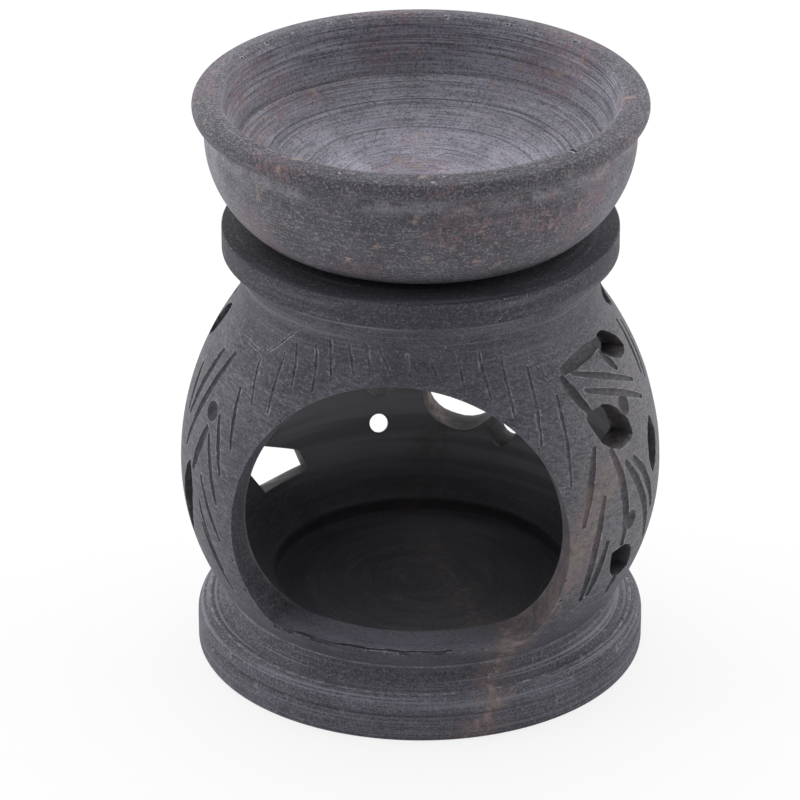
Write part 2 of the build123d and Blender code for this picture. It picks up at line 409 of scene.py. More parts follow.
right_spray = [
    (1.7, (54.5, 48), (51, 42), (48, 35.5)), (1.8, (55.5, 39.5), (52, 30), (50.5, 20.5)),
    (2.2, (60, 46.5), (63, 39.5), (63, 28)), (2.1, (65, 43), (72.5, 34.5), (77.5, 25)),
    (2.0, (69, 42.5), (76, 36), (79.5, 30)), (1.7, (56.5, 31), (54.5, 26), (52.5, 21)),
    (1.9, (64.5, 22.5), (63.5, 20.5), (62.5, 18.5)), (1.2, (54.9, 59.4), (66.6, 56.8), (81, 52.5)),
    (1.3, (57.1, 56.4), (67.1, 54.1), (82.9, 49)), (2.4, (51.2, 60.2), (61.2, 60.9), (73, 61)),
    (2.0, (50.8, 59.8), (53.5, 56.2), (57, 52.6)),
    (1.5, (70.5, 59.8), (75.1, 55.9)), (1.5, (93.5, 59.8), (92.2, 56.2), (89.7, 51)),
    (1.3, (98, 58.5), (96.1, 54.1), (92.1, 49.5)),
]
left_spray = [
    (0.9, (-50.5, 55.5), (-47, 46)), (1.1, (-55, 50), (-49.5, 41)), (1.2, (-57.5, 46), (-50, 35.5)),
    (1.1, (-58.5, 38.5), (-49, 29)), (1.1, (-59, 34), (-51, 22.5)), (1.1, (-58, 30), (-49.5, 19)),
    (1.5, (-77, 53), (-75, 45)), (1.6, (-67, 58), (-73, 45)), (1.6, (-60, 59), (-71, 40)),
    (2.0, (-59, 47), (-61, 43), (-63.5, 38)),
]
back_spray = []
chance = random.Random(7)
spray_feet = [(100, 20), (126, 26), (150, 22), (-100, 22), (-124, 30), (-148, 24), (170, 42), (-174, 36)]
for middle, low in spray_feet:
    for k in range(5):
        foot_angle = middle + chance.uniform(-2, 2)
        tip_angle = middle + (k - 2) * 4.5 + chance.uniform(-1, 1)
        rise = chance.uniform(8, 12)
        start = low + 2.4 * k
        width = chance.uniform(1.0, 1.8)
        back_spray.append((width, (foot_angle + (k - 2), start), (tip_angle, start + rise)))

belly_line = np.concatenate((lower_belly[::-1], upper_belly[1:], nape[1:]))
chamber_line = np.concatenate((lower_chamber[::-1], upper_chamber[1:], chamber_nape[1:]))


def radius_at(line, height):
    """Radius of a turned line at a height."""
    return np.interp(height, line[:, 1], line[:, 0])


def on_belly(angle, height, lift=0.0):
    """Point on the belly's outside, in millimetres."""
    radius = radius_at(belly_line, height) + lift
    turn = math.radians(angle)
    return radius * math.sin(turn), -radius * math.cos(turn), height


gouge, given, made = workshop("gouge", Stone="Material")
bite = node(gouge, "GeometryNodeInputNamedAttribute", {"Name": "bite"}, data_type="FLOAT")
path = node(gouge, "GeometryNodeMeshToCurve", {"Mesh": given["Geometry"]})
point = node(gouge, "GeometryNodeCurvePrimitiveCircle", {"Resolution": 20, "Radius": 1.0}, mode="RADIUS")
groove = node(gouge, "GeometryNodeCurveToMesh",
              {"Curve": path, "Profile Curve": point.outputs["Curve"], "Scale": bite, "Fill Caps": True})
groove = node(gouge, "GeometryNodeSetMaterial", {"Geometry": groove, "Material": given["Stone"]})
gouge.links.new(groove.outputs[0], made[0])


mm_per_degree, stroke_step, scoop_width = 0.65, 0.9, 0.9


def gouged(mesh, strokes, stone):
    """Cuts tapering lines into the belly."""
    chance = random.Random(len(strokes))
    lines, bites = [], []
    for width, *stops in strokes:
        stops = np.array(stops, float)
        steps = np.hypot(np.diff(stops[:, 0]) * mm_per_degree, np.diff(stops[:, 1]))
        lengths = np.concatenate(((0,), np.cumsum(steps)))
        count = max(6, round(lengths[-1] / stroke_step))
        line = []
        for k in range(count + 1):
            t = k / count
            # A quadratic through the stops keeps a bent stroke smooth
            if len(stops) == 3:
                m = lengths[1] / lengths[2]
                weights = ((t - m) * (t - 1) / m, t * (t - 1) / (m * (m - 1)), t * (t - m) / (1 - m))
                angle, height = np.array(weights) @ stops
            else:
                angle, height = stops[0] + t * (stops[1] - stops[0])
            half = width / 2 * (0.35 + 0.65 * math.sin(math.pi * (0.06 + 0.88 * t))**0.8)
            half *= chance.uniform(0.95, 1.05)
            # A thin stroke is a scratch, and a broad one a shallow scoop
            dip = half * (0.8 if width < scoop_width else 0.62)
            sweep = (half * half + dip * dip) / (2 * dip)
            line.append(on_belly(angle + chance.uniform(-0.12, 0.12), height, sweep - dip))
            bites.append(sweep * mm)
        lines.append(line)
    return carved(mesh, worked(line_mesh("strokes", lines, bite=bites), gouge, Stone=stone))


body_mesh = gouged(body_mesh, fringe, scratch_stone)
for strokes in (right_spray, left_spray, back_spray):
    body_mesh = gouged(body_mesh, strokes, cut_stone)

# Chipped edges and drilled dimples: small bits broken out along the edges of the
# collar, the window and its sill, and the foot.
dimples = [(71.0, 51.3), (66.2, 32.0), (-59.0, 49.8)]
dimple_radius, dimple_depth = 2.2, 0.9

chip, given, made = workshop("chip", Every="Float", Smallest="Float", Largest="Float",
                             Seed="Int", Stone="Material")


def by_chance(low, high):
    """A random vector for each chip."""
    return node(chip, "FunctionNodeRandomValue", {0: low, 1: high, "Seed": given["Seed"]},
                data_type="FLOAT_VECTOR")


edge_line = node(chip, "GeometryNodeMeshToCurve", {"Mesh": given["Geometry"]})
spots = node(chip, "GeometryNodeCurveToPoints", {"Curve": edge_line, "Length": given["Every"]}, mode="LENGTH")
wander = by_chance((-0.5 * mm,) * 3, (0.5 * mm,) * 3)
spots = node(chip, "GeometryNodeSetPosition", {"Geometry": spots.outputs["Points"], "Offset": wander})
size = node(chip, "FunctionNodeRandomValue",
            {2: given["Smallest"], 3: given["Largest"], "Seed": given["Seed"]}, data_type="FLOAT")
stretch = by_chance((0.5, 0.5, 0.35), (1.3, 1.3, 0.9))
bulk = vectors(chip, "SCALE", stretch, scale=size.outputs[1])
tumble = node(chip, "FunctionNodeEulerToRotation", {0: by_chance((0, 0, 0), (6.28,) * 3)})
bit = node(chip, "GeometryNodeMeshIcoSphere", {"Radius": 1.0, "Subdivisions": 2})
bits = node(chip, "GeometryNodeInstanceOnPoints",
            {"Points": spots, "Instance": bit.outputs["Mesh"], "Rotation": tumble, "Scale": bulk})
bits = node(chip, "GeometryNodeRealizeInstances", {0: bits})
jag = jitter(chip, 1500.0, given["Largest"])
bits = node(chip, "GeometryNodeSetPosition", {"Geometry": bits, "Offset": jag})
bits = node(chip, "GeometryNodeSetMaterial", {"Geometry": bits, "Material": given["Stone"]})
chip.links.new(bits.outputs[0], made[0])


def chipped(mesh, edge, every, smallest, largest, seed, stone):
    """Breaks small bits out along an edge given in millimetres."""
    cutter = worked(line_mesh("edges", [edge]), chip, Every=every * mm, Smallest=smallest * mm,
                    Largest=largest * mm, Seed=seed, Stone=stone)
    return carved(mesh, cutter)


def ring(radius, height, first=0, last=360):
    """Points round the axis between two angles from the middle of the window."""
    turns = np.radians(np.linspace(first, last, max(4, round(abs(last - first) / 3))))
    return [(radius * math.sin(a), -radius * math.cos(a), height) for a in turns]


def window_edge(angle):
    """Point of the window's outer edge, by its angle round the opening from the top."""
    turn = math.radians(angle)
    depth = -30.0
    for _ in range(40):
        grow = (window_near[0] - depth) * math.tan(window_taper)
        radius = window_near[1] + grow
        x, z = radius * math.sin(turn), window_height + radius * math.cos(turn)
        r = radius_at(belly_line, z)
        depth = -math.sqrt(max(r * r - x * x, 1))
    return x, depth, z


sill_outer = radius_at(belly_line, window_sill)
sill_edge = [(x, -math.sqrt(sill_outer**2 - x * x), window_sill) for x in np.linspace(-20, 15, 25)]
window_arch = [window_edge(a) for a in np.linspace(-112, 112, 80)]
window_corner_edge = [window_edge(a) for a in np.linspace(-120, -98, 12)]
chance = random.Random(4)
crack = [(x + chance.uniform(-0.2, 0.2), y + chance.uniform(-0.25, 0.25), z - 0.15)
         for x, y, z in ring(sill_outer - 0.55, window_sill, -37, 15)]
crack_mesh = line_mesh("crack", [crack], bite=[chance.uniform(0.22, 0.5) * mm for _ in crack])
body_mesh = carved(body_mesh, worked(crack_mesh, gouge, Stone=cut_stone))
# Each edge, with the step, the smallest and the largest chip, the seed and the stone
for chips in (
    (sill_edge, 1.2, 0.15, 0.6, 3, cut_stone),
    (sill_edge, 2.3, 0.2, 0.6, 14, scratch_stone),
    (window_arch, 4.2, 0.12, 0.4, 5, cut_stone),
    (window_corner_edge, 1.4, 0.15, 0.5, 8, cut_stone),
    (ring(collar_radius, collar_top), 5.5, 0.12, 0.42, 11, cut_stone),
    (ring(collar_radius, collar_base), 8.0, 0.1, 0.35, 12, cut_stone),
    (ring(foot_shoulder[0], foot_height), 7.0, 0.12, 0.4, 17, cut_stone),
):
    body_mesh = chipped(body_mesh, *chips)

for angle, height in dimples:
    ball = bmesh.new()
    centre = Vector(on_belly(angle, height, dimple_radius - dimple_depth)) * mm
    bmesh.ops.create_icosphere(ball, subdivisions=3, radius=dimple_radius * mm,
                               matrix=Matrix.Translation(centre))
    dimple = bpy.data.meshes.new("dimple")
    ball.to_mesh(dimple)
    ball.free()
    dimple.materials.append(cut_stone)
    body_mesh = carved(body_mesh, dimple)


sharp_bend, ring_reach = math.radians(24), 0.32
full_depth, hollow_margin = 4, 0.4


def finished(name, mesh, sharp, worn_and_lit_rings):
    """Makes a piece of a carved mesh: smooth, with its edges marked, and their wear, painted highlights and
    painted corner shade kept for the stone.
    """
    work = bmesh.new()
    work.from_mesh(mesh)
    bmesh.ops.triangulate(work, faces=work.faces)
    bmesh.ops.remove_doubles(work, verts=work.verts, dist=weld)
    # Slivers folded onto their neighbours go, and chips that lie wholly inside the stone
    flaps = [face for face in work.faces if {1, 3} <= {len(edge.link_faces) for edge in face.edges}]
    bmesh.ops.delete(work, geom=flaps, context="FACES")
    left, shells = set(work.faces), []
    while left:
        shell, ahead = [], [left.pop()]
        while ahead:
            shell.append(ahead.pop())
            near = {face for edge in shell[-1].edges for face in edge.link_faces} & left
            left -= near
            ahead.extend(near)
        shells.append(shell)
    shells.sort(key=len)
    bmesh.ops.delete(work, geom=[face for shell in shells[:-1] for face in shell], context="FACES")
    wear = work.verts.layers.float.new("edge")
    for edge in work.edges:
        bend = edge.calc_face_angle_signed(0)
        if len(edge.link_faces) < 2 or abs(bend) < sharp_bend:
            continue
        wear_and_highlight = 0.62
        cut, kept = sorted(edge.link_faces, key=lambda face: -face.material_index)
        if cut.material_index != kept.material_index:
            # The edge on the side that the cut leans to is painted paler, a painted highlight on top of its
            # wear
            middle = (edge.verts[0].co + edge.verts[1].co) / 2
            lean = (middle - cut.calc_center_median()).dot(Vector((-middle.y, middle.x, 0)))
            wear_and_highlight = 0.9 if lean > 0 else 0.4
            if mesh.materials[cut.material_index] == scratch_stone:
                wear_and_highlight = 1.0 if lean > 0 else 0.55
        for vert in edge.verts:
            if bend > 0:
                vert[wear] = max(vert[wear], wear_and_highlight)
            # A concave edge is kept for painted shade in its corner
            elif vert[wear] <= 0:
                vert[wear] = -1.0
    for vert in work.verts:
        radius, height = math.hypot(vert.co.x, vert.co.y) / mm, vert.co.z / mm
        for ring_radius, ring_height in worn_and_lit_rings:
            if math.hypot(radius - ring_radius, height - ring_height) < ring_reach:
                vert[wear] = max(vert[wear], 0.9)
    depth = work.verts.layers.float.new("depth")
    hollow = work.verts.layers.float.new("hollow")
    for vert in work.verts:
        radius, height = math.hypot(vert.co.x, vert.co.y) / mm, vert.co.z / mm
        if well_floor - 0.5 < height < chamber_top + 1:
            below, clear = radius_at(belly_line, height) - radius, radius_at(chamber_line, height) - radius
            vert[depth] = min(1, max(0, below / full_depth))
            vert[hollow] = min(1, max(0, clear / hollow_margin + 1))
    work.to_mesh(mesh)
    work.free()
    mesh.polygons.foreach_set("use_smooth", [True] * len(mesh.polygons))
    mesh.set_sharp_from_angle(angle=math.radians(sharp))
    return placed(name, mesh)


# The turned edges at the foot's shoulder and the belly's base are worn pale and painted paler, a painted
# highlight
turned_edges = [foot_shoulder, belly_base]
body = finished("burner_body_stone", body_mesh, 34, turned_edges)
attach(body, "burner")
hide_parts("burner_body")


# Dark soapstone: grey with a violet cast, mottled and speckled, with fine marks of
# the lathe and of sanding, pale where an edge is worn, and a brown vein across it.
def blend(factor, under, over):
    """Mixes two colours. The tree is the one that the factor is in, and so on below."""
    mix = node(factor.id_data, "ShaderNodeMix", {0: factor, 6: under, 7: over}, data_type="RGBA")
    return mix.outputs[2]


def between(value, low, high, to_low=0.0, to_high=1.0):
    """Maps a value from one range to another, smoothly and clamped."""
    ranges = {0: value, 1: low, 2: high, 3: to_low, 4: to_high}
    return node(value.id_data, "ShaderNodeMapRange", ranges, interpolation_type="SMOOTHSTEP").outputs[0]


def times(first, *others):
    """Product of values."""
    for other in others:
        first = maths(first.id_data, "MULTIPLY", first, other)
    return first


def band(value, low, full, gone, ebb):
    """On between two levels: comes from low to full, and goes from ebb to gone."""
    return times(between(value, low, full), between(value, gone, ebb))


def overlay(colour, shade, value, low, high, strength, mask=None):
    """Lays a shade on a colour as a value goes from low to high, within a mask."""
    share = between(value, low, high, 0.0, strength)
    return blend(share if mask is None else times(mask, share), colour, (*shade, 1))


def grain(place, scale, detail=4.0, roughness=0.55):
    """Noise in the stone, its scale in patches per metre."""
    return node(place.id_data, "ShaderNodeTexNoise", {"Vector": place, "Scale": scale, "Detail": detail,
                "Roughness": roughness}, noise_dimensions="3D").outputs["Fac"]


def from_axis(across, back):
    """The level vector from the axis to a place, and its length."""
    level = node(across.id_data, "ShaderNodeCombineXYZ", {0: across, 1: back})
    return level, vectors(across.id_data, "LENGTH", level)


def lathe_marks(place, fine, spread, detail=2.0):
    """Noise drawn out round the axis: fine marks a metre, and how fast they change round it."""
    tree = place.id_data
    across, back, height = node(tree, "ShaderNodeSeparateXYZ", {0: place}).outputs
    level, radius = from_axis(across, back)
    spoke = vectors(tree, "SCALE", vectors(tree, "NORMALIZE", level), scale=spread)
    rise = node(tree, "ShaderNodeCombineXYZ", {2: maths(tree, "MULTIPLY", height, fine)})
    drawn, out = vectors(tree, "ADD", spoke, rise), maths(tree, "MULTIPLY", radius, fine)
    return node(tree, "ShaderNodeTexNoise", {"Vector": drawn, "W": out, "Scale": 1.0, "Detail": detail},
                noise_dimensions="4D").outputs["Fac"]


def stone_tree(material):
    """Gives a material nodes: its tree, the place in the object, and its parts in millimetres."""
    material.use_nodes = True
    tree = material.node_tree
    place = node(tree, "ShaderNodeTexCoord").outputs["Object"]
    scaled = vectors(tree, "SCALE", place, scale=1 / mm)
    return tree, place, *node(tree, "ShaderNodeSeparateXYZ", {0: scaled}).outputs


def kept(tree, name):
    """A value that the mesh keeps for each of its points."""
    return node(tree, "ShaderNodeAttribute", attribute_name=name).outputs["Fac"]


def finish_stone(tree, colour, roughness, relief, strength, depth):
    """Links a stone's colour, roughness and fine relief to its shader."""
    shader = tree.nodes["Principled BSDF"]
    bump = node(tree, "ShaderNodeBump", {"Strength": strength, "Distance": depth * mm, "Height": relief})
    for name, value in (("Base Color", colour), ("Roughness", roughness), ("Normal", bump.outputs[0])):
        tree.links.new(value, shader.inputs[name])
    shader.inputs["Specular IOR Level"].default_value = 0.2


vein_point, vein_normal = Vector((14.65, -15.38, 15.91)) * mm, (-0.81, -0.331, 0.484)

for material in (body_stone, cut_stone, scratch_stone):
    tree, place, across, back, height = stone_tree(material)
    mottle = grain(place, 110, 6, 0.62)
    speckle = grain(place, 3000, 2, 0.6)
    scuffs = lathe_marks(place, 3200, 46)
    rings = lathe_marks(place, 800, 1.5)
    colour = blend(between(mottle, 0.34, 0.66), (0.06, 0.06, 0.074, 1), (0.096, 0.096, 0.116, 1))
    # The collar is painted darker, a painted shade under the dish, and dust lies on the foot and the sill
    deep = kept(tree, "depth")
    inner = kept(tree, "hollow")
    colour = overlay(colour, (0.03, 0.029, 0.038), height, 71.9, 72.6, 0.66)
    # The collar's top is painted darker still towards the left, a painted shade
    collar_top_shade = times(between(height, 76.3, 76.55), between(across, 4, -24, 0.05, 0.5))
    colour = blend(collar_top_shade, colour, (0.016, 0.015, 0.018, 1))
    # On the foot the dust is painted paler towards the front, a painted light on top of the dust
    foot_dust_and_light = times(between(height, 19, 12, 0, 0.42), between(mottle, 0.3, 0.65, 0.5, 1))
    foot_dust_and_light = times(foot_dust_and_light, between(back, -36, -16, 1, 0.15))
    colour = blend(foot_dust_and_light, colour, (0.15, 0.146, 0.184, 1))
    ledge = times(between(deep, 0.02, 0.15), between(height, 16.2, 15.5))
    ledge = times(ledge, between(inner, 0.9, 0.1, 0, 0.45))
    colour = blend(ledge, colour, (0.17, 0.162, 0.21, 1))
    # Towards the vein, on the right of the belly, the stone is painted paler, a painted light from that side,
    # and warmer
    right_light_and_warmth = times(band(height, 18, 32, 66, 54), between(across, 17, 35, 0, 0.42))
    colour = blend(right_light_and_warmth, colour, (0.19, 0.176, 0.182, 1))
    # Both sides of the belly are painted paler, a painted light from the sides
    out = maths(tree, "ABSOLUTE", across)
    painted_side_light = times(band(height, 12, 22, 71, 60), between(out, 24, 38, 0, 0.34))
    colour = blend(painted_side_light, colour, (0.172, 0.169, 0.18, 1))
    colour = overlay(colour, (0.14, 0.137, 0.158), rings, 0.5, 0.72, 0.5)
    colour = overlay(colour, (0.045, 0.044, 0.052), rings, 0.48, 0.28, 0.4)
    colour = overlay(colour, (0.03, 0.03, 0.037), scuffs, 0.47, 0.3, 0.4)
    colour = overlay(colour, (0.18, 0.177, 0.198), scuffs, 0.54, 0.74, 0.5)
    # Sanding left fine lines that slope across the belly
    belly = band(height, 12, 18, 68, 60)
    leaning = node(tree, "ShaderNodeVectorRotate", {"Vector": place, "Angle": -0.15}, rotation_type="Y_AXIS")
    hatch = lathe_marks(leaning, 3000, 26)
    colour = overlay(colour, (0.036, 0.036, 0.042), hatch, 0.48, 0.34, 0.45, belly)
    colour = overlay(colour, (0.2, 0.196, 0.214), hatch, 0.54, 0.7, 0.5, belly)
    colour = overlay(colour, (0.024, 0.024, 0.031), speckle, 0.48, 0.32, 0.5)
    colour = overlay(colour, (0.2, 0.197, 0.222), speckle, 0.54, 0.72, 0.45)
    flecks = grain(place, 900, 1)
    colour = overlay(colour, (0.33, 0.327, 0.35), flecks, 0.74, 0.8, 0.4)
    foot = times(between(height, 13, 10), between(inner, 0.5, 0.1))
    colour = overlay(colour, (0.3, 0.295, 0.32), grain(place, 560, 3), 0.63, 0.71, 0.4, foot)
    # Under the collar the turning lines are left
    nape_lines = band(height, 63, 67, 72.5, 71)
    fine_rings = lathe_marks(place, 2600, 0.8)
    nape_lines = times(nape_lines, between(fine_rings, 0.54, 0.66, 0, 0.55))
    colour = blend(nape_lines, colour, (0.225, 0.222, 0.245, 1))
    foot_lines = times(foot, between(height, 4, 8, 0.6, 1))
    colour = overlay(colour, (0.25, 0.245, 0.284), fine_rings, 0.5, 0.62, 0.55, foot_lines)
    colour = overlay(colour, (0.04, 0.039, 0.046), fine_rings, 0.48, 0.38, 0.3, foot_lines)
    colour = overlay(colour, (0.27, 0.265, 0.3), speckle, 0.52, 0.66, 0.3, foot)
    # Cut faces are painted dark, a painted shade in the cuts. Inside the chamber the wall is left unsanded,
    # and is pale with stone dust and painted light
    if material == cut_stone:
        # Painted shade: cut faces darker in patches, and darker the deeper they go into the wall
        shade = grain(place, 900, 3)
        colour = blend(between(shade, 0.35, 0.7, 0.72, 0.28), colour, (0.042, 0.041, 0.047, 1))
        colour = overlay(colour, (0.022, 0.021, 0.023), deep, 0.05, 0.6, 0.8)
    elif material == scratch_stone:
        colour = overlay(colour, (0.27, 0.266, 0.288), grain(place, 1100, 3), 0.42, 0.62, 0.4)
    else:
        # Stone dust and painted light, paler higher up and on the back wall
        dust_and_light = times(inner, between(height, 12, 24, 0.24, 0.95), between(back, 10, 26, 0.25, 1))
        hollow_rings = between(lathe_marks(place, 420, 0.5), 0.4, 0.6)
        dust_and_light_colour = blend(hollow_rings, (0.42, 0.41, 0.43, 1), (0.62, 0.61, 0.64, 1))
        colour = blend(dust_and_light, colour, dust_and_light_colour)
        # Painted shade on the wall of the well
        well_wall_shade = band(height, 10.1, 10.6, 12.9, 12.3)
        colour = blend(times(well_wall_shade, times(inner, 0.5)), colour, (0.02, 0.02, 0.023, 1))
    # The vein lies in a plane through the stone
    offset = vectors(tree, "SUBTRACT", place, vein_point)
    away = vectors(tree, "DOT_PRODUCT", offset, vein_normal)
    ragged = grain(place, 95, 5, 0.6)
    ragged = node(tree, "ShaderNodeMapRange", {0: ragged, 3: -6 * mm, 4: 6 * mm}).outputs[0]
    away = maths(tree, "ADD", away, ragged)
    away = maths(tree, "ABSOLUTE", away)
    vein = times(between(away, 0.8 * mm, 4.6 * mm, 1, 0), between(height, 54, 34, 0.15, 1))
    vein = times(vein, between(inner, 0.1, 0.9, 1, 0.55))
    vein = times(vein, between(grain(place, 620, 5, 0.7), 0.36, 0.64, 0.1, 0.75))
    vein_colour = blend(between(grain(place, 210), 0.4, 0.62),
                        (0.19, 0.14, 0.148, 1), (0.215, 0.175, 0.145, 1))
    colour = blend(vein, colour, vein_colour)
    core = times(between(away, 0.3 * mm, 1.6 * mm, 1, 0), between(height, 24, 12, 0.2, 1))
    core = times(core, between(grain(place, 800, 4, 0.7), 0.44, 0.62, 0, 0.7))
    core = times(core, between(inner, 0.1, 0.9, 1, 0.4))
    colour = blend(core, colour, (0.33, 0.258, 0.255, 1))
    # Worn edges go pale and dusty, with painted highlights on some of them, and inner corners are painted
    # dark, a painted shade
    edge = kept(tree, "edge")
    patchy = between(grain(place, 500, 3), 0.36, 0.64, 0.1, 0.9)
    patchy = times(patchy, between(grain(place, 2400, 2), 0.36, 0.6, 0.25, 1))
    worn_and_lit = times(between(edge, 0.3, 0.95), patchy)
    colour = blend(worn_and_lit, colour, (0.3, 0.297, 0.317, 1))
    corner_shade = between(edge, -0.2, -1, 0, 0.3)
    colour = blend(corner_shade, colour, (0.026, 0.025, 0.029, 1))
    relief = maths(tree, "ADD", maths(tree, "ADD", scuffs, speckle), rings)
    finish_stone(tree, colour, between(mottle, 0.3, 0.7, 0.58, 0.74), relief, 0.6, 0.08)

# Oil dish: a loose bowl of lighter, pinker soapstone with a rounded lip, turned in
# and out and left unpolished. It stands on the collar by its flat base.
dish_base_radius, dish_radius, dish_top = 22.3, 37.1, 99.6
dish_corner_radius, dish_floor_thickness = 10, 5.4
lip_overhang, lip_height, lip_crown, rim_width = 2.2, 3.7, 0.6, 4.6
dish_segments = 288
lip_root = (dish_radius - lip_overhang, dish_top - lip_height)
lip_top = (dish_radius - lip_crown, dish_top - lip_crown)
rim_inner = (dish_radius - rim_width, dish_top)
step_outer, step_inner = (30.2, dish_top - 8.9), (29.6, dish_top - 9.5)
floor_middle = (0, collar_top + dish_floor_thickness)
corner_turn = math.radians(39)
corner_end = (dish_base_radius + dish_corner_radius * math.sin(corner_turn),
              collar_top + dish_corner_radius * (1 - math.cos(corner_turn)))
dish_corner, corner_heading = arc((dish_base_radius, collar_top), (1, 0), corner_end, 0.6)
dish_side, _ = arc(corner_end, corner_heading, lip_root, 0.6)
lip_heading = heading_through(lip_root, (dish_radius, dish_top - lip_height / 2), lip_top)
lip, _ = arc(lip_root, lip_heading, lip_top, 0.25)
rim, _ = arc(rim_inner, (1, 0), lip_top, 0.35)
dish_floor, _ = arc(floor_middle, (1, 0), step_inner, 0.28)
dish_profile = eased([
    (straight((0, collar_top), (dish_base_radius, collar_top), 3), 0),
    (dish_corner, 0),
    (dish_side, 0.4),
    (lip, 0.2),
    (rim[::-1], 1.3),
    (straight(rim_inner, step_outer, 0.28), 0.4),
    (straight(step_outer, step_inner, 0.3), 0.35),
    (dish_floor[::-1], 0),
])
run = distances(dish_profile)
inside = np.clip((run - run[-1] + 38) / 1.5, 0, 1) * np.clip((run[-1] - run) / 4, 0, 1)
chatter = 0.020 * np.sin(run * 7.1) + 0.014 * np.sin(run * 4.3 + 1) + 0.014 * np.sin(run * 10.3 + 2)
chatter *= 0.5 + 0.5 * np.sin(run * 0.9)
dish_profile[:, 1] += inside * chatter
dish_profile[:, 0] += inside * chatter * 0.5
dish_stone = bpy.data.materials.new("grey_soapstone")
dish_chip = bpy.data.materials.new("grey_soapstone_chip")
dish_line = line_mesh("dish_profile", [[(r, 0, z) for r, z in dish_profile]])
dish_mesh = worked(dish_line, lathe, Segments=dish_segments, Stone=dish_stone)
rim_edge = (rim_inner[0] + 0.2, dish_top - 0.5)
dish_mesh = chipped(dish_mesh, ring(*rim_edge, 100, 250), 3.4, 0.2, 0.6, 21, dish_chip)
dish_mesh = chipped(dish_mesh, ring(*rim_edge, -110, 100), 9.0, 0.15, 0.4, 22, dish_chip)
slot_turn = math.radians(51.6)
slot = [(r * math.sin(slot_turn), -r * math.cos(slot_turn), dish_top - 0.05)
        for r in np.linspace(32.3, 34.7, 7)]
slot_mesh = line_mesh("slot", [slot], bite=[b * mm for b in (0.15, 0.3, 0.42, 0.45, 0.4, 0.3, 0.12)])
dish_mesh = carved(dish_mesh, worked(slot_mesh, gouge, Stone=cut_stone))
dish = finished("oil_dish_stone", dish_mesh, 40, [])
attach(dish, "dish")
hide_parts("oil_dish")

# Single rings cut in the hollow: radius, width and strength
hollow_cuts = [(29.9, 0.35, 0.6), (25, 0.22, 0.75), (24.1, 0.2, 0.5), (18.9, 0.2, 0.55), (13.5, 0.2, 0.4)]

